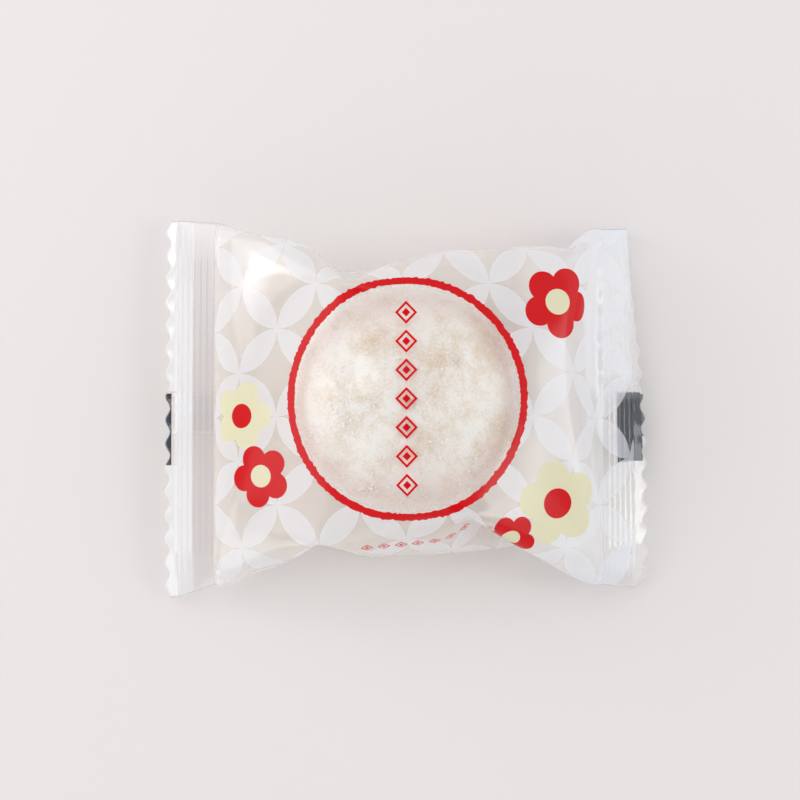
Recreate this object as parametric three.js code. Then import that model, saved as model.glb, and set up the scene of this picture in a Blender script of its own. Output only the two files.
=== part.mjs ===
// A daifuku (filled mochi rice cake) sealed in a clear flow-wrap pouch, lying flat as it is sold.
// The pouch is one tube of film, so it is one solid: a pillow that takes the cake's domed shape
// and, past it, narrows to two flat end seals. Each seal is a crimped band with ribs along its
// length, followed by a smooth lip that the cutting knife leaves with a zigzag edge. Under the
// pouch runs the flat fin seal that closes the tube.
// Millimetres, +Z up. X runs along the pouch from seal to seal, Y across it. The origin is on
// the surface the pouch lies on, under the middle of its outline.
import * as THREE from "three";

// Film and seals
const SEAL_THICKNESS = 0.6; // crimped layers of film
const BODY_LENGTH = 79; // between the inner edges of the two bands, as the pouch lies
const BAND_WIDTH = 7.8; // the crimped part of a seal
const LIP_WIDTH = 3.1; // the uncrimped film outside the band, out to the tips of its teeth
const RIBS = 6; // ribs on each band
const RIB_HEIGHT = 0.35; // crest to trough
const TEETH = 16; // zigzag teeth along each cut edge
const TOOTH_DEPTH = 1.25;
const TOOTH_CUP = 0.25; // how far the knife bends each tooth up or down
const FIN_ROOT = 3.4; // y where the fin seal leaves the tube; it is folded flat to the south
const FIN_WIDTH = 9;
const FIN_RELIEF = 0.5;

// Pillow
const CAKE = new THREE.Vector2(-0.3, 1.4); // where the cake's middle lies
const HEIGHT = 26.4; // top of the film over the cake
const SIDE_HEIGHT = 10.5; // where the film turns under, beside the cake
const REST_HALF_LENGTH = 29; // half of the stretch of film that lies on the surface
const FLOOR_BITE = 0.9; // how much the surface flattens the film under the cake

// Each seal's height at its middle, how far it arches down towards its corners and leans to one
// of them, where its two ends lie, and how soon the film swells up from it. The band is bent
// along a crease; the droops say how steeply it hangs there, in degrees below level at its south
// and north corner. The right seal curls under towards the north, and its lip more than its band.
const LEFT_SEAL = {
  height: 8.4,
  arch: 1.4,
  lean: 0,
  south: -38.7,
  north: 38.7,
  swell: 1.65,
  crease: 4.6,
  innerDroop: [3, 3],
  outerDroop: [20, 20],
  lipDroop: [30, 30],
};
const RIGHT_SEAL = {
  height: 11.2,
  arch: 2.2,
  lean: 0.6,
  south: -36.6,
  north: 37.4,
  swell: 2,
  crease: 3.9,
  innerDroop: [26, 44],
  outerDroop: [26, 44],
  lipDroop: [24, 84],
};

// The pouch's two long edges, seen from above, as x and y from the left seal to the right one.
// The film is drawn in where it wraps the cake, and pinched once on each side.
const NORTH_EDGE = [
  [-39.5, 38],
  [-33, 35.7],
  [-26, 34],
  [-20, 32],
  [-14, 28.6],
  [-6, 29.1],
  [3, 30.2],
  [14, 31.1],
  [24, 32.3],
  [32.5, 32.9],
  [36, 35.5],
  [39.5, 36.6],
];
const SOUTH_EDGE = [
  [-39.5, -36],
  [-33, -34.6],
  [-26, -32.1],
  [-17.5, -28],
  [-12, -29.5],
  [-8, -30.4],
  [6, -29.8],
  [21, -28.3],
  [27, -31],
  [33, -34.2],
  [39.5, -36],
];

// Creases that the seals' corners and the cake pull into the film, each a soft straight ridge.
// A positive height stands up, and sheet says which side of the pouch has the crease.
const CREASES = [
  { sheet: "top", from: [-38, 36], to: [-19, 24], width: 2.2, height: 1.1 },
  { sheet: "top", from: [-22, 31], to: [-12, 25], width: 2.2, height: -0.9 },
  { sheet: "top", from: [-37, -33], to: [-20, -25], width: 2.2, height: 1 },
  { sheet: "top", from: [-18, -28], to: [-13, -23], width: 2, height: -0.9 },
  { sheet: "top", from: [38, -33], to: [25, -24], width: 2.2, height: 1 },
  { sheet: "top", from: [21, -28], to: [10, -23], width: 2.2, height: -0.9 },
  { sheet: "top", from: [38, 34], to: [26, 28], width: 2.4, height: 0.9 },
  { sheet: "top", from: [37, 16], to: [37, 4], width: 2.2, height: -0.8 },
  { sheet: "bottom", from: [-36, 31], to: [-20, 18], width: 2.4, height: -0.9 },
  { sheet: "bottom", from: [-28, -15], to: [-14, -13], width: 2.4, height: 2 },
  { sheet: "bottom", from: [36, 29], to: [21, 18], width: 2.4, height: -0.9 },
  { sheet: "bottom", from: [36, -29], to: [21, -18], width: 2.4, height: -0.9 },
];

// Mesh density
const ACROSS = 4 * TEETH; // steps across one sheet, four to a tooth
const BODY_STEPS = 19;
const BAND_STEPS = 2 * RIBS; // one step up and one down to each rib
const EDGE_SAMPLES = 200;

const { lerp, smoothstep, degToRad } = THREE.MathUtils;
const HALF_LENGTH = BODY_LENGTH / 2;

// A smooth curve through [x, y] points, as a function of x.
function edgeCurve(points) {
  const curve = new THREE.SplineCurve(points.map(([x, y]) => new THREE.Vector2(x, y)));
  const samples = curve.getPoints(EDGE_SAMPLES);
  return (x) => {
    const next = samples.findIndex((sample) => sample.x >= x);
    if (next === 0) return samples[0].y;
    if (next < 0) return samples.at(-1).y;
    const [a, b] = [samples[next - 1], samples[next]];
    return lerp(a.y, b.y, (x - a.x) / (b.x - a.x));
  };
}

const northEdge = edgeCurve(NORTH_EDGE);
const southEdge = edgeCurve(SOUTH_EDGE);

function sealAt(end) {
  return end < 0 ? LEFT_SEAL : RIGHT_SEAL;
}

// Height of one end's seal line. across runs from 0 at the south corner to 1 at the north one.
function sealHeight(end, across) {
  const seal = sealAt(end);
  const out = 2 * across - 1;
  return seal.height - seal.arch * out ** 2 + seal.lean * out;
}

// How far out and down a seal's film has come, out mm from its inner edge measured on the film.
function hang(end, out, across) {
  const seal = sealAt(end);
  const inner = Math.min(out, seal.crease);
  const outer = Math.min(out, BAND_WIDTH) - inner;
  const lip = Math.max(0, out - BAND_WIDTH);
  const innerAngle = degToRad(lerp(...seal.innerDroop, across));
  const outerAngle = degToRad(lerp(...seal.outerDroop, across));
  const lipAngle = degToRad(lerp(...seal.lipDroop, smoothstep(across, 0.35, 1)));
  return {
    reach: inner * Math.cos(innerAngle) + outer * Math.cos(outerAngle) + lip * Math.cos(lipAngle),
    drop: inner * Math.sin(innerAngle) + outer * Math.sin(outerAngle) + lip * Math.sin(lipAngle),
  };
}

// The height of all creases of one sheet at a place.
function creaseHeight(sheet, x, y) {
  const here = new THREE.Vector3(x, y, 0);
  const nearest = new THREE.Vector3();
  let height = 0;
  for (const crease of CREASES.filter((c) => c.sheet === sheet)) {
    const line = new THREE.Line3(new THREE.Vector3(...crease.from, 0), new THREE.Vector3(...crease.to, 0));
    const along = line.closestPointToPointParameter(here, true);
    const away = line.closestPointToPoint(here, true, nearest).distanceTo(here);
    const taper = Math.sin(Math.PI * lerp(0.15, 0.85, along));
    height += crease.height * taper * Math.exp(-((away / crease.width) ** 2));
  }
  return height;
}

// How far along the way from the cake's middle to a seal x is, from 0 to 1.
function reachAt(x) {
  const halfLength = HALF_LENGTH - Math.sign(x - CAKE.x) * CAKE.x;
  return Math.min(1, Math.abs(x - CAKE.x) / halfLength);
}

// One sheet's section across the pouch: 1 along its middle and 0 at its side edges. It is a
// flat arch near the seals and grows squarer and steeper-sided over the cake.
function section(out, fullness) {
  const shoulder = 1 - Math.abs(out) ** lerp(3.5, 4.6, fullness);
  return shoulder ** lerp(0.6, 0.4, fullness);
}

// A point of the pillow: across is 0 at the south edge and 1 at the north one.
function bodyPoint(sheet, x, across) {
  const reach = reachAt(x);
  const fullness = (1 - reach ** sealAt(x).swell) ** 0.6;
  // Points crowd towards the side edges where the section is round.
  const out = lerp(2 * across - 1, -Math.cos(Math.PI * across), 0.8 * (1 - reach ** 3));
  const y = lerp(southEdge(x), northEdge(x), (out + 1) / 2);
  const seal = sealHeight(Math.sign(x) || 1, across);
  const side = lerp(seal, SIDE_HEIGHT, fullness);
  const creased = creaseHeight(sheet, x, y) * Math.min(1, 6 * (1 - reach)) * (1 - out ** 4);
  if (sheet === "top") {
    const crown = lerp(seal, HEIGHT, fullness) + SEAL_THICKNESS / 2;
    return new THREE.Vector3(x, y, side + (crown - side) * section(out, fullness) + creased);
  }
  const rise = Math.max(0, Math.abs(x) - REST_HALF_LENGTH) / (HALF_LENGTH - REST_HALF_LENGTH);
  const keel = lerp(-FLOOR_BITE, seal - SEAL_THICKNESS / 2, rise ** 2.7);
  const under = side + (keel - side) * section(out, fullness) + creased;
  const fin = y > FIN_ROOT - FIN_WIDTH && y < FIN_ROOT ? FIN_RELIEF * Math.min(1, 6 * rise) : 0;
  return new THREE.Vector3(x, y, Math.max(0, under - fin));
}

// The crimp: a triangle wave across the band, shared by both sheets.
function ribHeight(onBand) {
  const phase = ((onBand / BAND_WIDTH) * RIBS) % 1;
  return RIB_HEIGHT * (0.5 - 2 * Math.abs(phase - 0.5));
}

// A point of an end seal, out mm from its inner edge towards the cut, measured on the film.
function sealPoint(sheet, end, out, across) {
  const inner = end * HALF_LENGTH;
  const seal = sealAt(end);
  const onBand = Math.min(out, BAND_WIDTH);
  const onLip = out - onBand;
  const { reach, drop } = hang(end, out, across);
  // Over the band the film widens from the drawn-in pouch to the seal's own width.
  const south = lerp(southEdge(inner), seal.south, onBand / BAND_WIDTH);
  const north = lerp(northEdge(inner), seal.north, onBand / BAND_WIDTH);
  const relief =
    onLip > 0
      ? (onLip / LIP_WIDTH) * TOOTH_CUP * Math.cos(2 * Math.PI * TEETH * across)
      : ribHeight(onBand);
  // The seal thins to nothing at its two corners, where the sheets meet.
  const fade = Math.min(1, 8 * Math.min(across, 1 - across));
  const offset = sheet === "top" ? SEAL_THICKNESS / 2 : -SEAL_THICKNESS / 2;
  return new THREE.Vector3(
    inner + end * reach,
    lerp(south, north, across),
    sealHeight(end, across) - drop + (offset + relief) * fade,
  );
}

// One ring of the loft: the top sheet from south to north, then the bottom sheet back.
function ring(pointAt) {
  const points = [];
  for (let k = 0; k <= ACROSS; k++) points.push(pointAt("top", k / ACROSS));
  for (let k = ACROSS - 1; k > 0; k--) points.push(pointAt("bottom", k / ACROSS));
  return points;
}

// The cut edge, whose teeth point outwards.
function cutRing(end) {
  return ring((sheet, across) => {
    const notch = (TOOTH_DEPTH / 2) * (1 + Math.cos(2 * Math.PI * TEETH * across));
    return sealPoint(sheet, end, BAND_WIDTH + LIP_WIDTH - notch, across);
  });
}

// An end seal's rings, from its inner edge to the cut.
function sealRings(end) {
  const rings = [];
  for (let i = 1; i <= BAND_STEPS; i++) {
    const out = (BAND_WIDTH * i) / BAND_STEPS;
    rings.push(ring((sheet, across) => sealPoint(sheet, end, out, across)));
  }
  return [...rings, cutRing(end)];
}

function bodyRings() {
  const rings = [];
  for (let i = 0; i <= BODY_STEPS; i++) {
    // Rings crowd towards the seals, where the film swells up steeply.
    const even = (2 * i) / BODY_STEPS - 1;
    const x = HALF_LENGTH * lerp(even, -Math.cos((Math.PI * i) / BODY_STEPS), 0.4);
    rings.push(ring((sheet, across) => bodyPoint(sheet, x, across)));
  }
  return rings;
}

// The triangles that close a cut edge between its top and bottom sheets.
function edgeFaces(first) {
  const around = 2 * ACROSS;
  const faces = [];
  for (let k = 0; k < ACROSS; k++) {
    const [topA, topB] = [first + k, first + k + 1];
    const [lowA, lowB] = [first + ((around - k) % around), first + around - k - 1];
    if (k > 0) faces.push([topA, topB, lowA]);
    if (k < ACROSS - 1) faces.push([lowA, topB, lowB]);
  }
  return faces;
}

// Joins the rings into one closed skin.
function loft(rings) {
  const around = 2 * ACROSS;
  const last = (rings.length - 1) * around;
  const positions = rings.flat().flatMap((point) => point.toArray());
  const triangles = [];
  for (let first = 0; first < last; first += around)
    for (let j = 0; j < around; j++) {
      const a = first + j;
      const b = first + ((j + 1) % around);
      triangles.push(a, a + around, b, b, a + around, b + around);
    }
  triangles.push(...edgeFaces(0).flat());
  triangles.push(...edgeFaces(last).flatMap(([a, b, c]) => [a, c, b]));
  const geometry = new THREE.BufferGeometry();
  geometry.setAttribute("position", new THREE.Float32BufferAttribute(positions, 3));
  geometry.setIndex(triangles);
  return geometry;
}

function pouch() {
  const geometry = loft([...sealRings(-1).reverse(), ...bodyRings(), ...sealRings(1)]);
  geometry.computeBoundingBox();
  const middle = geometry.boundingBox.getCenter(new THREE.Vector3());
  geometry.translate(-middle.x, -middle.y, -geometry.boundingBox.min.z);
  geometry.computeVertexNormals();
  return geometry;
}

const film = new THREE.MeshStandardMaterial({ color: 0xece7e4, roughness: 0.25, metalness: 0 });

const wrappedCake = new THREE.Group();
const flowWrap = new THREE.Mesh(pouch(), film);
flowWrap.name = "flow_wrap";
wrappedCake.add(flowWrap);

export default wrappedCake;
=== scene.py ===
import bmesh
import bpy
import numpy as np
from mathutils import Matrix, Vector, noise


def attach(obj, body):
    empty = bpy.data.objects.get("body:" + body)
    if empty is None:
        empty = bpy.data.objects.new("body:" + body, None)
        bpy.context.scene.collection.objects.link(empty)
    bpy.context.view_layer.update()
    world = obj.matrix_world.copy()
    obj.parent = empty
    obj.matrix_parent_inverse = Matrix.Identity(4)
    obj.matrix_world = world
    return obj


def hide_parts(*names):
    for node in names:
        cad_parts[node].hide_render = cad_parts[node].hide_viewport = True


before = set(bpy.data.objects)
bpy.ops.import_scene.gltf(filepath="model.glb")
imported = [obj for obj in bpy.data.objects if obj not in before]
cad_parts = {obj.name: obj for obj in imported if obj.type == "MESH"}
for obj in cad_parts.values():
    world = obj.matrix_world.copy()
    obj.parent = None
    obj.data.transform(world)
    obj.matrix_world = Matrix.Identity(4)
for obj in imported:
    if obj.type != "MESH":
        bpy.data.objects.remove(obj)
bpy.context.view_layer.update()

# ---------------------------------------------------------------------------------------------
# Table, camera and lamps. The table is a smooth sheet of matt white laminate. Softboxes stand
# round it behind the walls of a light tent, which is open overhead. A small window in the
# north-west gives the film a crisp highlight in that corner.
# ---------------------------------------------------------------------------------------------
MM = 0.001  # in metres
TABLE_SIZE = 3000  # mm
VIEW_POINT = Vector((-1.7, 1.6, 8))  # mm: what the middle of the picture looks at
VIEW_DISTANCE = 544  # mm
VIEW_TILT = 3.0  # degrees that the camera leans to the pouch's south side
LENS, SENSOR_WIDTH = 120, 36  # mm


def linear(code):
    """The linear colour of an sRGB hex value, with an alpha of 1."""
    channels = [int(code[i : i + 2], 16) / 255 for i in (1, 3, 5)]
    return (*((c / 12.92 if c <= 0.04045 else ((c + 0.055) / 1.055) ** 2.4) for c in channels), 1)


def add(tree, kind, inputs=None, **settings):
    """Adds one node. Settings are its own properties; inputs are its sockets' values or links."""
    made = tree.nodes.new("ShaderNode" + kind)
    for name, value in settings.items():
        setattr(made, name, value)
    for name, value in (inputs or {}).items():
        if isinstance(value, bpy.types.NodeSocket):
            tree.links.new(value, made.inputs[name])
        else:
            made.inputs[name].default_value = value
    return made


def new_material(name):
    """An empty node material and its output node."""
    material = bpy.data.materials.new(name)
    material.use_nodes = True
    material.node_tree.nodes.clear()
    return material, add(material.node_tree, "OutputMaterial")


def mesh_object(name, points, faces, materials):
    """A smooth mesh object from points in mm."""
    mesh = bpy.data.meshes.new(name)
    mesh.from_pydata((np.asarray(points, float).reshape(-1, 3) * MM).tolist(), [], faces)
    for material in materials:
        mesh.materials.append(material)
    mesh.shade_smooth()
    made = bpy.data.objects.new(name, mesh)
    bpy.context.collection.objects.link(made)
    return made


# Melamine laminate, satin: almost white and slightly warm, with a soft sheen and no pattern.
laminate, out = new_material("satin_white_laminate")
tree = laminate.node_tree
board = add(tree, "BsdfPrincipled", {"Base Color": linear("#eae6e6"), "Roughness": 0.6})
tree.links.new(board.outputs[0], out.inputs["Surface"])

half = TABLE_SIZE / 2
corners = [(-half, -half, 0), (half, -half, 0), (half, half, 0), (-half, half, 0)]
table = mesh_object("table", corners, [(0, 1, 2, 3)], [laminate])

camera = bpy.data.objects.new("camera", bpy.data.cameras.new("camera"))
bpy.context.collection.objects.link(camera)
tilt = np.radians(VIEW_TILT)
back = Vector((0, -np.sin(tilt), np.cos(tilt)))
camera.location = (VIEW_POINT + back * VIEW_DISTANCE) * MM
camera.rotation_euler = (tilt, 0, 0)
camera.data.lens = LENS
camera.data.sensor_width = SENSOR_WIDTH
bpy.context.scene.camera = camera

# The tent lets in an even pale light from all round, but is open overhead, where it is dark.
TENT_OPENING = (24, 12)  # degrees from straight up: its rim, and where none of the wall is left
TENT_GLOW, OPENING_GLOW = 0.63, 0.15
world = bpy.data.worlds.new("light_tent")
world.use_nodes = True
tree = world.node_tree
direction = add(tree, "TexCoord").outputs["Generated"]
upward = add(tree, "SeparateXYZ", {0: direction}).outputs["Z"]
rim, inside_rim = np.cos(np.radians(TENT_OPENING))
glow = add(
    tree,
    "MapRange",
    {
        "Value": upward,
        "From Min": rim,
        "From Max": inside_rim,
        "To Min": TENT_GLOW,
        "To Max": OPENING_GLOW,
    },
)
background = tree.nodes["Background"]
background.inputs["Color"].default_value = linear("#fffefc")
tree.links.new(glow.outputs[0], background.inputs["Strength"])
bpy.context.scene.world = world

# Each softbox: its compass direction from the pouch, with +Y as north, and how high it stands, in
# degrees; how far away it is and its width and height, in mm; its watts and colour.
SOFTBOXES = {
    "high_north_west": (330, 62, 1100, 600, 600, 1.25, "#ffffff"),
    "upper_west": (270, 42, 750, 300, 300, 0.38, "#fffdfd"),
    "upper_north_west": (315, 42, 750, 300, 300, 0.38, "#fffdfd"),
    "upper_east": (90, 42, 750, 300, 300, 0.68, "#fdffff"),
    "east": (90, 24, 900, 1400, 600, 1.9, "#fcfffe"),
    "south": (180, 18, 700, 500, 260, 0.25, "#ffffff"),
    "south_west": (240, 18, 700, 500, 260, 0.64, "#fffefd"),
    "north_west": (300, 18, 700, 500, 260, 0.85, "#fffaf9"),
    "window": (291, 22, 650, 105, 70, 0.11, "#fffaff"),
}
for name, (compass, rise, distance, wide, high, watts, colour) in SOFTBOXES.items():
    compass, rise = np.radians(compass), np.radians(rise)
    level = distance * np.cos(rise)
    place = Vector((level * np.sin(compass), level * np.cos(compass), distance * np.sin(rise)))
    lamp = bpy.data.lights.new(name, "AREA")
    lamp.shape = "RECTANGLE"
    lamp.size, lamp.size_y = wide * MM, high * MM
    lamp.energy = watts
    lamp.color = linear(colour)[:3]
    softbox = bpy.data.objects.new(name, lamp)
    bpy.context.collection.objects.link(softbox)
    softbox.location = place * MM
    softbox.rotation_euler = (-place).to_track_quat("-Z", "Y").to_euler()

bpy.context.scene.view_settings.view_transform = "Standard"
# Light crosses many layers of film where it lies in folds.
bpy.context.scene.cycles.transparent_max_bounces = 32
bpy.context.scene.cycles.diffuse_bounces = 8

# ---------------------------------------------------------------------------------------------
# The rice cake. Steamed glutinous rice dough is closed by hand round its filling and set down
# on a starched board, so it is a soft flattened ball with shallow lumps and a flat foot.
# ---------------------------------------------------------------------------------------------
CAKE_MIDDLE = np.array([-0.3, 1.4, 13.3])
CAKE_RADIUS = 23.6
CAKE_HALF_HEIGHT = 13.1
CAKE_SQUARENESS = 2.35  # 2 is an ellipsoid; more makes its sides steeper and its top flatter
CAKE_RINGS, CAKE_SPOKES = 120, 240
CAKE_FOOT = 0.45  # height of its flat foot, which lies on the film
CAKE_UNEVENNESS = ((14.0, 0.45), (5.0, 0.18), (1.6, 0.06))  # width and height of its lumps
FILM_CLEARANCE = 0.35  # how far its even form keeps inside the film


def cake_point(turn, rise):
    """A point of the cake's even form, by its turn about the axis and its rise, in radians."""
    power = 2 / CAKE_SQUARENESS
    radius = CAKE_RADIUS * abs(np.cos(rise)) ** power
    height = CAKE_HALF_HEIGHT * np.sign(np.sin(rise)) * abs(np.sin(rise)) ** power
    return CAKE_MIDDLE + (radius * np.cos(turn), radius * np.sin(turn), height)


# How much of the dough is covered: in the middle, how much more at the rim, and how far that
# varies from patch to patch, with the patches' sizes in mm. The extra cover at the rim is painted
# light: it whitens the cake's steep sides against the shade that falls on them.
STARCH_COVER = 0.72
RIM_PAINTED_LIGHT = 0.2
STARCH_PATCHES = ((5, 0.24), (1.8, 0.3))
STARCH_THICKNESS = 0.12  # mm, where it covers the dough wholly
# Where the film has rubbed the starch off: x, y, radius in mm, and how bare it is.
BARE_SPOTS = (
    (19, 14, 7, 0.55),
    (21, -8, 5, 0.7),
    (17, -17, 4, 0.35),
    (-7, 13, 3, 0.35),
    (6, 9, 4, 0.3),
    (-14, 1, 2.5, 0.3),
    (-13, -8, 3, 0.3),
    (2, -7, 3, 0.3),
)


def starch_and_rim_light(place):
    """How thickly starch lies at a place of the cake, from 0 to 1, with painted light whitening the
    rim.
    """
    out = np.hypot(*(place - CAKE_MIDDLE)[:2]) / CAKE_RADIUS
    cover = STARCH_COVER + RIM_PAINTED_LIGHT * out**2
    cover += sum(share * noise.noise(Vector(place) / size) for size, share in STARCH_PATCHES)
    for x, y, radius, bareness in BARE_SPOTS:
        far = np.hypot(place[0] - x, place[1] - y) / radius
        cover -= bareness * np.exp(-(far**2))
    return float(np.clip(cover, 0, 1))


cake_points = []
starch = []
for ring in range(CAKE_RINGS + 1):
    for spoke in range(CAKE_SPOKES):
        rise = np.pi * (ring / CAKE_RINGS - 0.5)
        place = cake_point(2 * np.pi * spoke / CAKE_SPOKES, rise)
        outward = (place - CAKE_MIDDLE) / (CAKE_RADIUS**2, CAKE_RADIUS**2, CAKE_HALF_HEIGHT**2)
        outward /= np.linalg.norm(outward)
        lump = sum(high * noise.noise(Vector(place) / wide) for wide, high in CAKE_UNEVENNESS)
        layer = STARCH_THICKNESS * starch_and_rim_light(place)
        place = place + outward * (lump - FILM_CLEARANCE + layer)
        place[2] = max(place[2], CAKE_FOOT)
        cake_points.append(place)
        starch.append(starch_and_rim_light(place))
cake_faces = [
    (
        ring * CAKE_SPOKES + spoke,
        ring * CAKE_SPOKES + (spoke + 1) % CAKE_SPOKES,
        (ring + 1) * CAKE_SPOKES + (spoke + 1) % CAKE_SPOKES,
        (ring + 1) * CAKE_SPOKES + spoke,
    )
    for ring in range(CAKE_RINGS)
    for spoke in range(CAKE_SPOKES)
]

# Steamed rice dough under potato starch: the dough is dense, a little translucent and greyish
# pink to tan; the starch is a dead-matt white powder that drifts into the hollows. Its grains are
# far too fine to see, so they are drawn as the clumps of half a millimetre that they form.
POWDER_CLUMP = 0.55  # mm
RAGGEDNESS = 1.1  # how far the clumps break up the edges of the starch
dough, out = new_material("rice_dough_dusted_with_starch")
tree = dough.node_tree
where = add(tree, "TexCoord").outputs["Object"]
# The starch attribute also carries the painted light that whitens the cake's rim.
thickness = add(tree, "Attribute", attribute_name="starch").outputs["Fac"]
powder = add(
    tree, "TexNoise", {"Vector": where, "Scale": 1 / (POWDER_CLUMP * MM), "Detail": 4}
).outputs[0]
ragged = add(
    tree, "Math", {0: powder, 1: RAGGEDNESS, 2: -RAGGEDNESS / 2}, operation="MULTIPLY_ADD"
)
ragged = add(tree, "Math", {0: ragged.outputs[0], 1: thickness}, operation="ADD")
cover = add(tree, "MapRange", {"Value": ragged.outputs[0], "From Min": 0.1, "From Max": 0.9})
skin = add(
    tree,
    "Mix",
    {0: cover.outputs[0], 6: linear("#decbb5"), 7: linear("#f8f4f0")},
    data_type="RGBA",
)
grain = add(tree, "Bump", {"Height": powder, "Strength": 0.5, "Distance": 0.1 * MM})
body = add(
    tree,
    "BsdfPrincipled",
    {
        "Base Color": skin.outputs[2],
        "Roughness": 0.85,
        "Normal": grain.outputs[0],
        "Subsurface Weight": 0.6,
        "Subsurface Radius": (1, 0.95, 0.88),
        "Subsurface Scale": 4 * MM,
    },
)
tree.links.new(body.outputs[0], out.inputs["Surface"])

cake = mesh_object("rice_cake", cake_points, cake_faces, [dough])
starch_layer = cake.data.attributes.new("starch", "FLOAT", "POINT")
starch_layer.data.foreach_set("value", starch)
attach(cake, "root")

# ---------------------------------------------------------------------------------------------
# Loose starch. Grains that cling together in lumps of 0.2 to 0.8 mm rub off on the film and lie
# on the cake, thickest in drifts at its rim and down its south-west side.
# ---------------------------------------------------------------------------------------------
GRAIN_RADIUS = (0.08, 0.42)  # mm, from the many small lumps to the few large ones
GRAIN_DEPTH = 0.2  # mm from the film to the middle of a small lump
GRAIN_UNEVENNESS = 0.18
SCATTER_LIMIT = 0.96  # share of the cake's radius that lumps lie on
DEVIATIONS = 1.5  # of a drift's scatter in its half-length
CHALK_PATCH = 1.5  # mm
# Each drift: x and y of its middle, its half-length along x and y in mm, and its number of lumps.
DRIFTS = (
    (-9.0, -17.4, 3.4, 0.9, 130),
    (-1.0, -19.6, 1.6, 0.7, 40),
    (3.2, -18.0, 1.0, 1.4, 34),
    (-12.0, -3.0, 3.4, 3.2, 130),
    (-4.4, -9.6, 0.9, 0.9, 14),
    (-19.2, -9.0, 1.3, 5.0, 70),
    (9.0, 6.0, 3.0, 3.0, 40),
    (12.0, -12.0, 5.0, 4.0, 60),
    (0.0, 0.0, 12.0, 11.0, 300),
)

scatter = np.random.default_rng(11)
lump_points = []
lump_faces = []
ball = bmesh.new()
bmesh.ops.create_icosphere(ball, subdivisions=1, radius=1)
ball_points = np.array([vert.co for vert in ball.verts])
ball_faces = [[vert.index for vert in face.verts] for face in ball.faces]
ball.free()
for x, y, half_x, half_y, count in DRIFTS:
    for _ in range(count):
        spot = scatter.normal((x, y), (half_x / DEVIATIONS, half_y / DEVIATIONS))
        out = np.hypot(*(spot - CAKE_MIDDLE[:2])) / CAKE_RADIUS
        if out > SCATTER_LIMIT:
            continue
        small, large = GRAIN_RADIUS
        radius = small + (large - small) * scatter.random() ** 4
        rise = CAKE_HALF_HEIGHT * (1 - out**CAKE_SQUARENESS) ** (1 / CAKE_SQUARENESS)
        depth = max(GRAIN_DEPTH, radius - GRAIN_DEPTH / 2)
        middle = np.array([*spot, CAKE_MIDDLE[2] + rise - depth])
        uneven = 1 + scatter.normal(0, GRAIN_UNEVENNESS, (len(ball_points), 1))
        first = len(lump_points)
        lump_points += list(middle + radius * ball_points * uneven)
        lump_faces += [[first + corner for corner in face] for face in ball_faces]

# Potato starch in lumps: a chalky, dead-matt white powder, a touch creamy where it is thick.
powder_lumps, out = new_material("lumps_of_potato_starch")
tree = powder_lumps.node_tree
where = add(tree, "TexCoord").outputs["Object"]
chalk = add(
    tree, "TexNoise", {"Vector": where, "Scale": 1 / (CHALK_PATCH * MM), "Detail": 2}
).outputs[0]
tint = add(
    tree, "Mix", {0: chalk, 6: linear("#fdfcfb"), 7: linear("#f6f1ea")}, data_type="RGBA"
)
chalky = add(tree, "BsdfPrincipled", {"Base Color": tint.outputs[2], "Roughness": 1.0})
tree.links.new(chalky.outputs[0], out.inputs["Surface"])

lumps = mesh_object("starch_lumps", lump_points, lump_faces, [powder_lumps])
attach(lumps, "root")

# ---------------------------------------------------------------------------------------------
# The pouch. A tube of thin clear film is drawn round the cake and crimped flat at both ends,
# so its slack gathers into soft folds between the seals and the cake. The film can bend but
# not stretch, and finds its own folds here in the same way.
# ---------------------------------------------------------------------------------------------
FLAT_WIDTH = 77.0  # the flattened tube, edge to edge
FILM_LENGTH = 90.0  # film between the two bands
BODY_LENGTH = 79.0  # the same stretch as the pouch lies
BAND_WIDTH = 7.8
LIP_WIDTH = 3.1
SHEET_GAP = 0.12  # half the space between the two sheets in a seal
COARSE_GRID = (25, 44)  # film points along the pouch and round it, before they are refined
ROUNDS = (300, 250, 200)  # how long the film settles on each grid
LOOSE_ROUNDS = 35  # and how long on the last one with its sides let go
AIR = 1.5e-4  # how hard the air inside pushes
STIFFNESS = 0.03  # how much the film resists bending
SHEAR_GIVE = 0.8  # how much of a wrong diagonal is put right at a time
DAMPING = 0.96  # share of its speed that the film keeps
LONGEST_MOVE = 0.2  # in a round, as a share of the grid's spacing
SIDE_PRESS = 0.35  # how much of the way back to the long edges a held side is pressed
FRICTION = 0.5  # on the table
SHAKE = 0.05  # how far points are moved at random before they settle, as a share of the spacing

# The long edges as the packer's chute leaves them, x and y in mm: drawn in beside the cake and
# pinched where the slack gathers.
NORTH_EDGE = (
    (-39.5, 38.0),
    (-24, 33.4),
    (-12, 29.6),
    (-6, 29.2),
    (2, 30.6),
    (10, 32.2),
    (22, 33.6),
    (32, 33.6),
    (35.5, 32.4),
    (39.5, 36.6),
)
SOUTH_EDGE = (
    (-39.5, -36.0),
    (-33, -33.4),
    (-24, -31.2),
    (-18.5, -28.6),
    (-14, -29.9),
    (0, -29.9),
    (14, -29.6),
    (21.3, -28.8),
    (27, -31.0),
    (34, -33.6),
    (39.5, -36.0),
)
CORNER = 9.0  # the film at each corner that is gathered to draw the seal in
CORNER_DROP = 0.96  # how far it sinks for each mm that it is drawn in
# How high each seal's inner edge lies in its middle, how much it rises to the north and how much
# it droops to both corners, in mm.
SEAL_HEIGHTS = {-1: (8.2, 0, 1.4), 1: (11, 0.6, 2.2)}
# Small waves in the right seal, where the jaws caught more film than they could lay flat: their
# place across it and half-width, as shares, then each wave's pitch and height in mm and its phase.
CRUMPLE_PLACE, CRUMPLE_WIDTH = 0.68, 0.14
CRUMPLE_WAVES = ((2.9, 0.2, 1), (4.7, 0.15, 0))
# The plain pillow that the film starts from, in mm: the height of its side edges and of its top,
# and how far from the middle its underside lies flat.
PILLOW_SIDE, PILLOW_TOP, PILLOW_FLAT = 10.5, 28, 17


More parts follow.
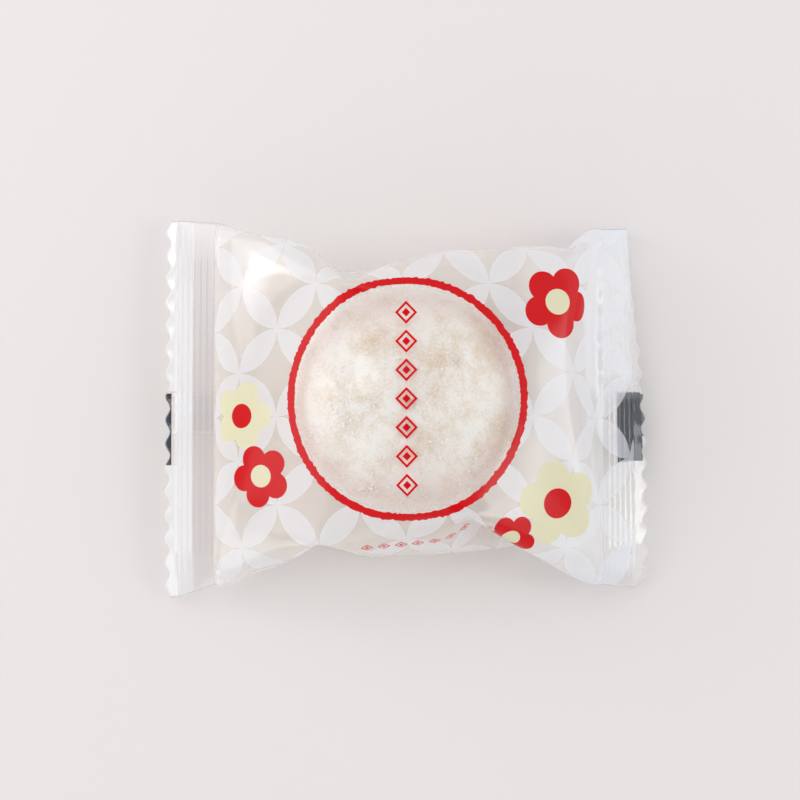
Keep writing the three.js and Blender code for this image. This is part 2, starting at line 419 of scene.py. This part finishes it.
def edges_at(x):
    """Where the pouch's south and north edges are at x."""
    return np.interp(x, *zip(*SOUTH_EDGE)), np.interp(x, *zip(*NORTH_EDGE))


def seal_height(end, across):
    """Height of a seal's inner edge. across is 0 at the south corner and 1 at the north one."""
    middle, rise, droop = SEAL_HEIGHTS[end]
    out = 2 * across - 1
    return middle - droop * out**2 + rise * out


def around_grid(columns):
    """Each film point round the tube: its place across, and its sheet, 1 on top and -1 below."""
    side = columns // 2
    across = np.concatenate([np.linspace(0, 1, side + 1), np.linspace(1, 0, side + 1)[1:-1]])
    sheet = np.concatenate([np.ones(side + 1), -np.ones(side - 1)])
    sheet[[0, side]] = 0
    return across, sheet


def crumple(end, across):
    """How high the small waves stand in a seal, at places across it."""
    share = np.exp(-(((across - CRUMPLE_PLACE) / CRUMPLE_WIDTH) ** 2)) * (end > 0)
    y = FLAT_WIDTH * across
    waves = (high * np.sin(2 * np.pi * y / pitch + phase) for pitch, high, phase in CRUMPLE_WAVES)
    return share * sum(waves)


def inner_edge(end, across, sheet):
    """The line along which a band joins the pillow, gathered and drooping at its corners."""
    south, north = edges_at(end * BODY_LENGTH / 2)
    flat = FLAT_WIDTH * (across - 0.5)
    start = FLAT_WIDTH / 2 - CORNER
    to_north = np.clip((flat - start) / CORNER, 0, 1)
    to_south = np.clip((-flat - start) / CORNER, 0, 1)
    drawn_north, drawn_south = FLAT_WIDTH / 2 - north, FLAT_WIDTH / 2 + south
    y = flat - drawn_north * to_north**1.3 + drawn_south * to_south**1.3
    drop = CORNER_DROP * (drawn_north * to_north**1.5 + drawn_south * to_south**1.5)
    z = seal_height(end, across) + crumple(end, across) + SHEET_GAP * sheet - drop
    return np.stack([np.full_like(y, end * BODY_LENGTH / 2), y, z], -1)


def first_form(rows, columns):
    """The tube as it comes off the forming shoulder: a plain pillow round the cake."""
    film = np.zeros((rows, columns, 3))
    turn = np.linspace(0, np.pi, 400)
    for row, x in enumerate(np.linspace(-BODY_LENGTH / 2, BODY_LENGTH / 2, rows)):
        fullness = (1 - (2 * abs(x) / BODY_LENGTH) ** 1.9) ** 0.95
        south, north = edges_at(x)
        out = -np.cos(turn)
        out = np.sign(out) * abs(out) ** (1 - 0.2 * fullness)
        y = south + (north - south) * (out + 1) / 2
        seal = seal_height(np.sign(x) or 1, (out + 1) / 2)
        side = seal + (PILLOW_SIDE - seal) * fullness
        arch = np.sin(turn) ** (1.2 - 0.2 * fullness)
        top = side + (seal + (PILLOW_TOP - seal) * fullness - side) * arch
        rise = np.clip((abs(x) - PILLOW_FLAT) / (BODY_LENGTH / 2 - PILLOW_FLAT), 0, 1)
        under = side + (seal * rise**1.25 - side) * np.sin(turn) ** (1.2 - 0.3 * fullness)
        for sheet, z in (("top", top), ("bottom", under)):
            line = np.stack([np.full_like(y, x), y, z], -1)
            run = np.concatenate([[0], np.cumsum(np.linalg.norm(np.diff(line, axis=0), axis=1))])
            even = np.linspace(0, run[-1], columns // 2 + 1)
            line = np.stack([np.interp(even, run, line[:, k]) for k in range(3)], -1)
            if sheet == "top":
                film[row, : columns // 2 + 1] = line
            else:
                film[row, columns // 2 + 1 :] = line[1:-1][::-1]
    return film


def refined(film):
    """Twice as many points each way, on smooth curves through the old ones."""
    rows, columns, _ = film.shape
    longer = np.zeros((2 * rows - 1, columns, 3))
    longer[::2] = film
    longer[1::2] = (film[1:] + film[:-1]) / 2
    longer[3:-3:2] = (9 * (film[1:-2] + film[2:-1]) - film[:-3] - film[3:]) / 16
    finer = np.zeros((2 * rows - 1, 2 * columns, 3))
    finer[:, ::2] = longer
    near = longer + np.roll(longer, -1, axis=1)
    far = np.roll(longer, 1, axis=1) + np.roll(longer, -2, axis=1)
    finer[:, 1::2] = (9 * near - far) / 16
    return finer


def keep_lengths(film, free, row_step, column_step, length, give):
    """Pulls every pair of points a step apart back to the film's own length between them."""
    rows, columns = free.shape
    for first in (0, 1):
        if row_step:
            near_rows, near_columns = np.arange(first, rows - 1, 2), np.arange(columns)
        else:
            near_rows, near_columns = np.arange(rows), np.arange(first, columns, 2)
        near = np.ix_(near_rows, near_columns)
        far = np.ix_(near_rows + row_step, (near_columns + column_step) % columns)
        thread = film[far] - film[near]
        now = np.sqrt(np.einsum("ijk,ijk->ij", thread, thread)) + 1e-9
        share = give * (now - length) / now / np.maximum(free[near] + free[far], 1e-9)
        film[near] += thread * (share * free[near])[..., None]
        film[far] -= thread * (share * free[far])[..., None]


def curvature(field):
    """How far each point lies from the middle of its neighbours."""
    away = (np.roll(field, 1, axis=1) + np.roll(field, -1, axis=1)) / 2 - field
    away[1:-1] += (field[2:] + field[:-2]) / 2 - field[1:-1]
    return away


def settle(film, rounds, seals, held):
    """Lets the film move under the air inside, against the cake, the table and its own shape."""
    rows, columns, _ = film.shape
    along = FILM_LENGTH / (rows - 1)
    around = 2 * FLAT_WIDTH / columns
    diagonal = np.hypot(along, around)
    free = np.ones((rows, columns))
    free[[0, -1]] = 0
    upper = np.arange(1, columns // 2)
    lower = columns - upper
    speed = np.zeros_like(film)
    for _ in range(rounds):
        was = film.copy()
        lengthwise = np.zeros_like(film)
        lengthwise[1:-1] = film[2:] - film[:-2]
        outward = np.cross(lengthwise, np.roll(film, -1, axis=1) - np.roll(film, 1, axis=1))
        outward /= np.linalg.norm(outward, axis=-1, keepdims=True) + 1e-9
        move = DAMPING * speed + AIR * along * around * outward
        size = np.linalg.norm(move, axis=-1, keepdims=True)
        film = film + move * np.minimum(1, LONGEST_MOVE * along / np.maximum(size, 1e-9))
        film[0], film[-1] = seals
        for _ in range(2):
            keep_lengths(film, free, 1, 0, along, 1)
            keep_lengths(film, free, 0, 1, around, 1)
            keep_lengths(film, free, 1, 1, diagonal, SHEAR_GIVE)
            keep_lengths(film, free, 1, -1, diagonal, SHEAR_GIVE)
        for _ in range(2):
            film -= STIFFNESS * curvature(curvature(film)) * free[..., None]
        # The two sheets touch but don't pass through each other.
        overlap = np.maximum(0, 2 * SHEET_GAP - film[:, upper, 2] + film[:, lower, 2]) / 2
        film[:, upper, 2] += overlap
        film[:, lower, 2] -= overlap
        # Nor does the film enter the cake.
        away = film - CAKE_MIDDLE
        wide = np.hypot(away[..., 0], away[..., 1]) / CAKE_RADIUS
        high = abs(away[..., 2]) / CAKE_HALF_HEIGHT
        inside = (wide**CAKE_SQUARENESS + high**CAKE_SQUARENESS) ** (1 / CAKE_SQUARENESS)
        film = CAKE_MIDDLE + away / np.clip(inside, 0.3, 1)[..., None]
        if held:
            x, y = film[..., 0], film[..., 1]
            south, north = edges_at(x)
            pressed = y + SIDE_PRESS * (np.clip(y, south, north) - y)
            film[..., 1] = np.where(abs(x) < BODY_LENGTH / 2 - 1, pressed, y)
        low = film[..., 2] < 0
        film[..., 2] = np.maximum(film[..., 2], 0)
        film[low, :2] += FRICTION * (was[low, :2] - film[low, :2])
        film[0], film[-1] = seals
        speed = film - was
    return film


shake = np.random.default_rng(5)
film = first_form(*COARSE_GRID)
for level, rounds in enumerate(ROUNDS):
    rows, columns, _ = film.shape
    across, sheet = around_grid(columns)
    seals = [inner_edge(end, across, sheet) for end in (-1, 1)]
    film[1:-1] += shake.normal(0, SHAKE * FILM_LENGTH / (rows - 1), film[1:-1].shape)
    film = settle(film, rounds, seals, held=True)
    if level == len(ROUNDS) - 1:
        film = settle(film, LOOSE_ROUNDS, seals, held=False)
    film = refined(film)

# The seals: a band crimped with ribs between the sealing jaws, then a smooth lip that the
# knife leaves with a wavy edge. The left one is bent down along a line in its band.
RIBS = 6
RIB_HEIGHT = 0.12
RIB_ROWS = 4
LIP_ROWS = 6
TEETH = 16
TOOTH_DEPTH = 1.25
TOOTH_CUP = 0.14
SEAL_ENDS = {-1: (-38.7, 38.7), 1: (-36.6, 37.4)}  # south and north, y in mm
LIP_TUCK = 2.2  # how far the right lip's south corner is turned in
# How steeply the left seal hangs at each distance out, in mm and degrees.
LEFT_BEND = ((4.2, 3), (5.2, 20), (BAND_WIDTH, 20), (BAND_WIDTH + 1, 30))
# How steeply the right one hangs, in degrees: at its south end and how much more at the north one,
# and the same for its lip, which curls down from a share of the way across.
RIGHT_BAND, RIGHT_LIP, CURL_FROM = (26, 18), (24, 60), 0.35


def slope(end, out, across):
    """How steeply a seal hangs down, out mm from its inner edge, in radians."""
    if end < 0:
        return np.radians(np.interp(out, *zip(*LEFT_BEND)))
    curl = np.clip((across - CURL_FROM) / (1 - CURL_FROM), 0, 1)
    lip = RIGHT_LIP[0] + RIGHT_LIP[1] * curl**2 * (3 - 2 * curl)
    band = RIGHT_BAND[0] + RIGHT_BAND[1] * across
    return np.radians(np.where(out > BAND_WIDTH, lip, band))


def seal_lines(end, outs, across, sheet):
    """Lines of film points across a seal, one for each distance out from its inner edge."""
    edge = inner_edge(end, across, sheet)
    x, z = edge[:, 0].copy(), edge[:, 2] - crumple(end, across)
    # Ribs and teeth flatten towards the side edges.
    fade = np.minimum(1, 10 * np.minimum(across, 1 - across))
    reached = np.zeros_like(across)
    lines = []
    for out in outs:
        step, angle = out - reached, slope(end, (out + reached) / 2, across)
        x += end * step * np.cos(angle)
        z -= step * np.sin(angle)
        reached = out
        spread = np.minimum(out / BAND_WIDTH, 1)
        on_lip = np.maximum(out - BAND_WIDTH, 0) / LIP_WIDTH
        south, north = SEAL_ENDS[end]
        south = south + LIP_TUCK * on_lip * (end > 0) * np.exp(-across / 0.04)
        y = edge[:, 1] * (1 - spread) + (south + (north - south) * across) * spread
        rib = -RIB_HEIGHT / 2 * np.cos(2 * np.pi * RIBS * spread) * (on_lip == 0)
        cup = TOOTH_CUP * on_lip * np.cos(2 * np.pi * TEETH * across)
        waves = crumple(end, across) * np.exp(-out / 5)
        lines.append(np.stack([x, y, z + waves + (rib + cup) * fade], -1))
    return lines


FIN_THICKNESS = 0.25  # the pouch stands on its folded back seal

film[..., 2] = np.maximum(film[..., 2], 0)
rows, columns, _ = film.shape
across, sheet = around_grid(columns)
notch = TOOTH_DEPTH / 2 * (1 + np.cos(2 * np.pi * TEETH * across))
steps = [BAND_WIDTH * k / (RIBS * RIB_ROWS) for k in range(1, RIBS * RIB_ROWS + 1)]
outs = [np.full(columns, step) for step in steps]
outs += [BAND_WIDTH + (LIP_WIDTH - notch) * k / LIP_ROWS for k in range(1, LIP_ROWS + 1)]
left = seal_lines(-1, outs, across, sheet)[::-1]
right = seal_lines(1, outs, across, sheet)
rings = np.array([*left, *film, *right])
rings[..., 2] = np.maximum(rings[..., 2], 0) + FIN_THICKNESS
flat_along = np.array(
    [-FILM_LENGTH / 2 - out for out in reversed(outs)]
    + [np.full(columns, x) for x in np.linspace(-FILM_LENGTH / 2, FILM_LENGTH / 2, rows)]
    + [FILM_LENGTH / 2 + out for out in outs]
)
flat_around = np.linspace(0, 2 * FLAT_WIDTH, columns + 1) - FLAT_WIDTH / 2


def flat_place(row, column, first):
    """Where a film point lies on the flattened film, unrolled from the face's first column."""
    around = flat_around[column] - 2 * FLAT_WIDTH * (flat_around[first] >= FLAT_WIDTH - 1e-6)
    return flat_along[row, column % columns], around


pouch_faces = []
flat_places = []
for i in range(len(rings) - 1):
    for j in range(columns):
        corners = ((i, j), (i + 1, j), (i + 1, j + 1), (i, j + 1))
        pouch_faces.append([row * columns + column % columns for row, column in corners])
        flat_places += [flat_place(row, column, j) for row, column in corners]
# The two sheets are joined along both cut ends.
for i in (0, len(rings) - 1):
    for j in range(columns // 2):
        corners = ((i, j), (i, j + 1), (i, columns - j - 1), (i, columns - j))
        if i:
            corners = corners[::-1]
        pouch_faces.append([row * columns + column % columns for row, column in corners])
        flat_places += [flat_place(i, j, j)] * 4

# The print, in mm on the flattened film, from the middle of its front: along the pouch, round it.
# White half-covering ink gives a field of the traditional seven-treasures pattern, circles that
# each overlap four others, from the left band to the end of the right one. Over it are a red
# ring, plum blossoms and small lozenges, all opaque.
CIRCLE_RADIUS = 8.75
PATTERN_PLACE = (-0.7, 6.5, 0)  # one of the points where petal tips meet
BACK_PANEL = 46.0  # round the film, where the pattern stops on the pouch's back
RING_MIDDLE = (0, 1.0, 0)
RING_RADIUS = 24.4  # outside
RING_STROKE = 1.55
RING_UNEVENNESS = 0.8  # how far the stroke wavers, as if laid by hand
RING_WAVERS = 1.1  # and how often, in each mm
LOZENGE_COLUMN = {"pitch": 5.7, "count": 7, "middle": 1.0, "width": 2.2, "height": 2.3}
LOZENGE_ROW = {"pitch": 3.4, "count": 7, "middle": 1.5, "place": -30.2, "width": 1.1, "height": 1.3}
LOZENGE_LINE = (0.86, 0.14)  # its outline's middle and half-width, as shares of its half-size
LOZENGE_DOT = 0.38
# Each blossom: where its middle is, its radius, its turn in degrees, its ink and its eye's ink.
BLOSSOMS = (
    ((31.0, 20.5, 0), 7.2, 10, "red", "cream"),
    ((31.5, -19.5, 0), 8.4, 40, "cream", "red"),
    ((22.0, -27.0, 0), 5.2, 15, "red", "cream"),
    ((-35.0, -2.0, 0), 6.8, 0, "cream", "red"),
    ((-30.5, -14.0, 0), 6.2, 30, "red", "cream"),
)
PETAL_REACH, PETAL_RADIUS, EYE_RADIUS = 0.6, 0.42, 0.36  # shares of a blossom's radius
# The dark bar that the packing machine reads is cut through at the seals. Each half: from and to
# along the film, and both from and to across the back.
READER_MARKS = ((48.7, 54.9), (-60, -54.3))
READER_MARK_BACK = (-3.0, 11.6)

# Biaxially drawn polypropylene, clear: so thin that it only mirrors at both faces, a twentieth
# of the light head on and all of it at a grazing view, and lets the rest straight through. The
# inks are printed on its inside, so they have the film's own gloss.
film_material, out = new_material("printed_clear_polypropylene_film")
tree = film_material.node_tree
flat = add(tree, "UVMap", uv_map="flat_film").outputs[0]
place = add(tree, "SeparateXYZ", {0: flat})
along, around = place.outputs["X"], place.outputs["Y"]
# Round the film once more, but from the middle of its back.
on_back = add(tree, "Math", {0: around, 1: FLAT_WIDTH}, operation="ADD").outputs[0]
on_back = add(
    tree, "Math", {0: on_back, 1: FLAT_WIDTH, 2: -FLAT_WIDTH}, operation="WRAP"
).outputs[0]

# The circles' middles form a lattice turned by 45 degrees. Folded into one corner of its cell, a
# place is on a petal where it lies within a radius of the second nearest middle too.
shifted = add(tree, "VectorMath", {0: flat, 1: PATTERN_PLACE}, operation="SUBTRACT")
shifted = add(tree, "SeparateXYZ", {0: shifted.outputs[0]})
diagonals = []
for operation in ("ADD", "SUBTRACT"):
    both = add(tree, "Math", {0: shifted.outputs[0], 1: shifted.outputs[1]}, operation=operation)
    cell = add(tree, "Math", {0: both.outputs[0], 1: 2 * CIRCLE_RADIUS}, operation="DIVIDE")
    folded = add(tree, "Math", {0: cell.outputs[0], 1: 0.5}, operation="PINGPONG")
    diagonals.append(folded.outputs[0])
near = add(tree, "Math", {0: diagonals[0], 1: diagonals[1]}, operation="MINIMUM")
near = add(tree, "Math", {0: 0.5, 1: near.outputs[0]}, operation="ADD")
far = add(tree, "Math", {0: diagonals[0], 1: diagonals[1]}, operation="MAXIMUM")
far = add(tree, "Math", {0: 0.5, 1: far.outputs[0]}, operation="SUBTRACT")
offset = add(tree, "CombineXYZ", {0: near.outputs[0], 1: far.outputs[0]})
to_circle = add(tree, "VectorMath", {0: offset.outputs[0]}, operation="LENGTH")
petal = add(tree, "Math", {0: to_circle.outputs["Value"], 1: 0.5**0.5}, operation="LESS_THAN")
from_ring = add(tree, "VectorMath", {0: flat, 1: RING_MIDDLE}, operation="DISTANCE")
waver = add(tree, "TexNoise", {"Vector": flat, "Scale": RING_WAVERS, "Detail": 1}).outputs[0]
waver = add(tree, "Math", {0: waver, 1: 0.5}, operation="SUBTRACT").outputs[0]
from_ring = add(
    tree,
    "Math",
    {0: waver, 1: RING_UNEVENNESS, 2: from_ring.outputs["Value"]},
    operation="MULTIPLY_ADD",
).outputs[0]
outside = add(tree, "Math", {0: from_ring, 1: RING_RADIUS - RING_STROKE}, operation="GREATER_THAN")
panel = (BAND_WIDTH / 2, (FILM_LENGTH + BAND_WIDTH) / 2)
printed = add(tree, "Math", {0: along, 1: panel[0], 2: panel[1]}, operation="COMPARE")
front = add(tree, "Math", {0: around, 1: 0, 2: BACK_PANEL}, operation="COMPARE")
white = petal.outputs[0]
for limit in (outside, printed, front):
    white = add(tree, "Math", {0: white, 1: limit.outputs[0]}, operation="MULTIPLY").outputs[0]


def lozenges(row, across_row, along_row, centre):
    """The ink of a row of small lozenges, each an outline with a dot in it."""
    start = row["middle"] - row["pitch"] * (row["count"] - 1) / 2
    run = add(tree, "Math", {0: along_row, 1: start}, operation="SUBTRACT")
    step = add(tree, "Math", {0: run.outputs[0], 1: row["pitch"] / 2}, operation="PINGPONG")
    high = add(tree, "Math", {0: step.outputs[0], 1: row["height"]}, operation="DIVIDE")
    side = add(tree, "Math", {0: across_row, 1: centre}, operation="SUBTRACT")
    side = add(tree, "Math", {0: side.outputs[0]}, operation="ABSOLUTE")
    wide = add(tree, "Math", {0: side.outputs[0], 1: row["width"]}, operation="DIVIDE")
    reach = add(tree, "Math", {0: wide.outputs[0], 1: high.outputs[0]}, operation="ADD")
    outline = {0: reach.outputs[0], 1: LOZENGE_LINE[0], 2: LOZENGE_LINE[1]}
    line = add(tree, "Math", outline, operation="COMPARE")
    dot = add(tree, "Math", {0: reach.outputs[0], 1: LOZENGE_DOT}, operation="LESS_THAN")
    ink = add(tree, "Math", {0: line.outputs[0], 1: dot.outputs[0]}, operation="MAXIMUM")
    length = row["pitch"] * row["count"] / 2
    within = add(tree, "Math", {0: along_row, 1: row["middle"], 2: length}, operation="COMPARE")
    return add(tree, "Math", {0: ink.outputs[0], 1: within.outputs[0]}, operation="MULTIPLY")


ring = add(
    tree,
    "Math",
    {0: from_ring, 1: RING_RADIUS - RING_STROKE / 2, 2: RING_STROKE / 2},
    operation="COMPARE",
)
lozenge_column = lozenges(LOZENGE_COLUMN, along, around, 0)
lozenge_row = lozenges(LOZENGE_ROW, around, along, LOZENGE_ROW["place"])
INKS = {"white": "#f4f7ff", "red": "#da0a16", "cream": "#ece9c8", "navy": "#131b33"}
WHITE_COVER = 0.52
INK_THROUGH = 0.2  # share of the light on the inks that comes out behind them
colour = linear(INKS["white"])
cover = add(tree, "Math", {0: white, 1: WHITE_COVER}, operation="MULTIPLY").outputs[0]
layers = [(shape.outputs[0], "red") for shape in (ring, lozenge_column, lozenge_row)]
for middle, radius, turn, ink, eye_ink in BLOSSOMS:
    moved = add(tree, "VectorMath", {0: flat, 1: middle}, operation="SUBTRACT")
    axes = add(tree, "SeparateXYZ", {0: moved.outputs[0]})
    angle = add(tree, "Math", {0: axes.outputs[1], 1: axes.outputs[0]}, operation="ARCTAN2")
    angle = add(tree, "Math", {0: angle.outputs[0], 1: np.radians(turn)}, operation="ADD")
    angle = add(tree, "Math", {0: angle.outputs[0], 1: np.pi / 5, 2: -np.pi / 5}, operation="WRAP")
    reach = add(tree, "VectorMath", {0: moved.outputs[0]}, operation="LENGTH").outputs["Value"]
    cosine = add(tree, "Math", {0: angle.outputs[0]}, operation="COSINE")
    sine = add(tree, "Math", {0: angle.outputs[0]}, operation="SINE")
    x = add(tree, "Math", {0: cosine.outputs[0], 1: reach}, operation="MULTIPLY")
    y = add(tree, "Math", {0: sine.outputs[0], 1: reach}, operation="MULTIPLY")
    spot = add(tree, "CombineXYZ", {0: x.outputs[0], 1: y.outputs[0]})
    petal_middle = (PETAL_REACH * radius, 0, 0)
    away = add(tree, "VectorMath", {0: spot.outputs[0], 1: petal_middle}, operation="DISTANCE")
    petal = add(
        tree, "Math", {0: away.outputs["Value"], 1: PETAL_RADIUS * radius}, operation="LESS_THAN"
    )
    core = add(tree, "Math", {0: reach, 1: PETAL_REACH * radius}, operation="LESS_THAN")
    blossom = add(tree, "Math", {0: petal.outputs[0], 1: core.outputs[0]}, operation="MAXIMUM")
    eye = add(tree, "Math", {0: reach, 1: EYE_RADIUS * radius}, operation="LESS_THAN")
    layers += [(blossom.outputs[0], ink), (eye.outputs[0], eye_ink)]
mark_middle = sum(READER_MARK_BACK) / 2
mark_half = (READER_MARK_BACK[1] - READER_MARK_BACK[0]) / 2
in_mark = add(tree, "Math", {0: on_back, 1: mark_middle, 2: mark_half}, operation="COMPARE")
for start, stop in READER_MARKS:
    stretch = {0: along, 1: (start + stop) / 2, 2: abs(stop - start) / 2}
    run = add(tree, "Math", stretch, operation="COMPARE")
    mark = add(tree, "Math", {0: run.outputs[0], 1: in_mark.outputs[0]}, operation="MULTIPLY")
    layers.append((mark.outputs[0], "navy"))
for mask, ink in layers:
    laid = add(tree, "Mix", {0: mask, 6: colour, 7: linear(INKS[ink])}, data_type="RGBA")
    colour = laid.outputs[2]
    cover = add(tree, "Math", {0: cover, 1: mask}, operation="MAXIMUM").outputs[0]

CREASE_SPACING, CREASE_HEIGHT = 4.0, 0.2  # mm, of the film's faintest creases
FACE_ON_MIRROR = 0.05
# How much of the light is scattered: by the film itself, by what more of it a slanted view goes
# through, by its cut edge, and by the starch dust inside, where the film stands off the cake and,
# as painted light, over the cake's shaded rim.
HAZE, SLANTED_HAZE, EDGE_HAZE, DUST = 0.01, 0.3, 0.5, 0.36
SCATTERED_ON = 0.35  # share of the scattered light that comes out behind the film
DUST_AND_RIM_LIGHT_FROM = (17, 24)  # mm from the middle of the ring, from clean film to film with dust; the dust reaching in over the cake's rim is also painted light that whitens the rim's shade
STARCHY_TO = (16, 44)  # mm along the film, from creamy starch to the film's own bluish haze
# And by each stretch of painted light: from and to along the film, from and to round it, how far it
# fades inwards, all in mm, and its share. Each is extra scattering that stands in for light: a
# painted highlight on the left lip on both sides of its mark and along a line in the left band, a
# painted reflection on the creased end of the right band, and painted light that lifts the shade on
# the pillow beside that band.
PAINTED_LIGHT_STRETCHES = (
    ((-57, -52.6), (3.2, 40), 0.4, 0.6),
    ((-57, -52.6), (-40, -11.4), 0.4, 0.6),
    ((-52.8, -49.2), (-78, 78), 0.4, 0.4),
    ((38, 57), (1, 45), 6.0, 0.85),
    ((22, 47), (-38, 40), 5.0, 0.28),
)
slant = add(tree, "LayerWeight", {"Blend": 0.5}).outputs["Facing"]
haze_and_painted_light = add(tree, "Math", {0: slant, 1: 3}, operation="POWER")
haze_and_painted_light = add(tree, "Math", {0: haze_and_painted_light.outputs[0], 1: SLANTED_HAZE, 2: HAZE}, operation="MULTIPLY_ADD")
# Each stretch adds painted light to the film's scattering.
for stretch, part, fade, strength in PAINTED_LIGHT_STRETCHES:
    inside = strength
    for line, (start, stop) in ((along, stretch), (around, part)):
        off = add(tree, "Math", {0: line, 1: (start + stop) / 2}, operation="SUBTRACT")
        off = add(tree, "Math", {0: off.outputs[0]}, operation="ABSOLUTE")
        within = add(
            tree,
            "Math",
            {0: off.outputs[0], 1: -1 / fade, 2: (stop - start) / 2 / fade},
            operation="MULTIPLY_ADD",
            use_clamp=True,
        )
        both = add(tree, "Math", {0: within.outputs[0], 1: inside}, operation="MULTIPLY")
        inside = both.outputs[0]
    haze_and_painted_light = add(tree, "Math", {0: haze_and_painted_light.outputs[0], 1: inside}, operation="ADD")
pillow = add(tree, "Math", {0: along, 1: 0, 2: FILM_LENGTH / 2}, operation="COMPARE")
# Starch dust, which also reaches in as painted light over the cake's shaded rim.
dust_and_rim_light_ramp = add(
    tree, "MapRange", {"Value": from_ring, "From Min": DUST_AND_RIM_LIGHT_FROM[0], "From Max": DUST_AND_RIM_LIGHT_FROM[1]}
)
dust_and_rim_light = add(tree, "Math", {0: pillow.outputs[0], 1: dust_and_rim_light_ramp.outputs[0]}, operation="MULTIPLY")
haze_and_painted_light = add(
    tree, "Math", {0: dust_and_rim_light.outputs[0], 1: DUST, 2: haze_and_painted_light.outputs[0]}, operation="MULTIPLY_ADD"
)
starchy = add(
    tree, "MapRange", {"Value": along, "From Min": STARCHY_TO[1], "From Max": STARCHY_TO[0]}
)
starchy = add(tree, "Math", {0: pillow.outputs[0], 1: starchy.outputs[0]}, operation="MULTIPLY")
whiteness = add(
    tree,
    "Mix",
    {0: starchy.outputs[0], 6: linear("#f9fbff"), 7: linear("#fbf7f0")},
    data_type="RGBA",
).outputs[2]
through = add(tree, "BsdfTransparent", {"Color": (1, 1, 1, 1)})
back_scatter = add(tree, "BsdfDiffuse", {"Color": whiteness})
on_scatter = add(tree, "BsdfTranslucent", {"Color": whiteness})
bloom = add(
    tree, "MixShader", {0: SCATTERED_ON, 1: back_scatter.outputs[0], 2: on_scatter.outputs[0]}
)
edge = add(tree, "Attribute", attribute_name="cut_edge").outputs["Fac"]
haze_and_painted_light = add(tree, "Math", {0: edge, 1: EDGE_HAZE, 2: haze_and_painted_light.outputs[0]}, operation="MULTIPLY_ADD")
hazy = add(tree, "MixShader", {0: haze_and_painted_light.outputs[0], 1: through.outputs[0], 2: bloom.outputs[0]})
creases = add(tree, "TexNoise", {"Vector": flat, "Scale": 1 / CREASE_SPACING, "Detail": 3})
creased = add(
    tree, "Bump", {"Height": creases.outputs[0], "Strength": 0.25, "Distance": CREASE_HEIGHT * MM}
).outputs[0]
shine = add(tree, "BsdfAnisotropic", {"Color": (1, 1, 1, 1), "Roughness": 0.1, "Normal": creased})
steep = add(tree, "Math", {0: slant, 1: 5}, operation="POWER")
mirrored = add(
    tree,
    "Math",
    {0: steep.outputs[0], 1: 1 - FACE_ON_MIRROR, 2: FACE_ON_MIRROR},
    operation="MULTIPLY_ADD",
)
clear = add(tree, "MixShader", {0: mirrored.outputs[0], 1: hazy.outputs[0], 2: shine.outputs[0]})
ink_front = add(
    tree, "BsdfPrincipled", {"Base Color": colour, "Roughness": 0.16, "IOR": 1.4, "Normal": creased}
)
ink_back = add(tree, "BsdfTranslucent", {"Color": colour})
ink = add(tree, "MixShader", {0: INK_THROUGH, 1: ink_front.outputs[0], 2: ink_back.outputs[0]})
surface = add(tree, "MixShader", {0: cover, 1: clear.outputs[0], 2: ink.outputs[0]})
tree.links.new(surface.outputs[0], out.inputs["Surface"])

pouch = mesh_object("film_pouch", rings, pouch_faces, [film_material])
at_cut = np.zeros(rings.shape[:2])
at_cut[[0, -1]] = 1
cut_layer = pouch.data.attributes.new("cut_edge", "FLOAT", "POINT")
cut_layer.data.foreach_set("value", at_cut.ravel())
flat_map = pouch.data.uv_layers.new(name="flat_film")
flat_map.data.foreach_set("uv", np.array(flat_places, np.float32).ravel())
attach(pouch, "root")
for piece in (pouch, cake, lumps):
    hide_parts("flow_wrap")

# ---------------------------------------------------------------------------------------------
# The back seal. The tube's two long edges are welded face to face into a fin, crimped like the
# ends, which is folded flat to the south under the pouch and caught in both end seals.
# ---------------------------------------------------------------------------------------------
FIN_ROOT, FIN_EDGE = 3.4, -5.6  # y in mm
FIN_COLUMNS = 10
FIN_GAP = 0.05  # to the film above it
FIN_RIB_PITCH, FIN_RIB_HEIGHT = 1.3, 0.05
FIN_CLEARANCE = 0.06  # of its underside from the table, between the ribs

fin_points = []
fin_places = []
for row, line in enumerate(rings):
    back = line[columns // 2 + 1 :]
    back = back[np.argsort(back[:, 1])]
    for column in range(FIN_COLUMNS + 1):
        y = FIN_ROOT + (FIN_EDGE - FIN_ROOT) * column / FIN_COLUMNS
        x, z = (np.interp(y, back[:, 1], back[:, k]) for k in (0, 2))
        on_film = flat_along[row, columns // 2]
        rib = FIN_RIB_HEIGHT * np.sin(2 * np.pi * on_film / FIN_RIB_PITCH)
        fin_points.append((x, y, z - FIN_GAP))
        fin_points.append((x, y, z - FIN_THICKNESS + FIN_CLEARANCE + rib))
        fin_places += [(on_film, FLAT_WIDTH - y)] * 2
fin_faces = []
width = 2 * (FIN_COLUMNS + 1)
for row in range(len(rings) - 1):
    start, stop = row * width, (row + 1) * width
    for top in range(start, stop - 2, 2):
        under = top + 1
        fin_faces.append((top, top + width, top + width + 2, top + 2))
        fin_faces.append((under, under + 2, under + width + 2, under + width))
    for one, other in ((start, start + 1), (stop - 1, stop - 2)):
        fin_faces.append((one, other, other + width, one + width))
for start, turned in ((0, 1), ((len(rings) - 1) * width, -1)):
    for top in range(start, start + width - 2, 2):
        fin_faces.append((top, top + 2, top + 3, top + 1)[::turned])
fin = mesh_object("back_fin_seal", fin_points, fin_faces, [film_material])
fin_map = fin.data.uv_layers.new(name="flat_film")
fin_corners = [fin_places[corner] for face in fin_faces for corner in face]
fin_map.data.foreach_set("uv", np.array(fin_corners, np.float32).ravel())
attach(fin, "root")
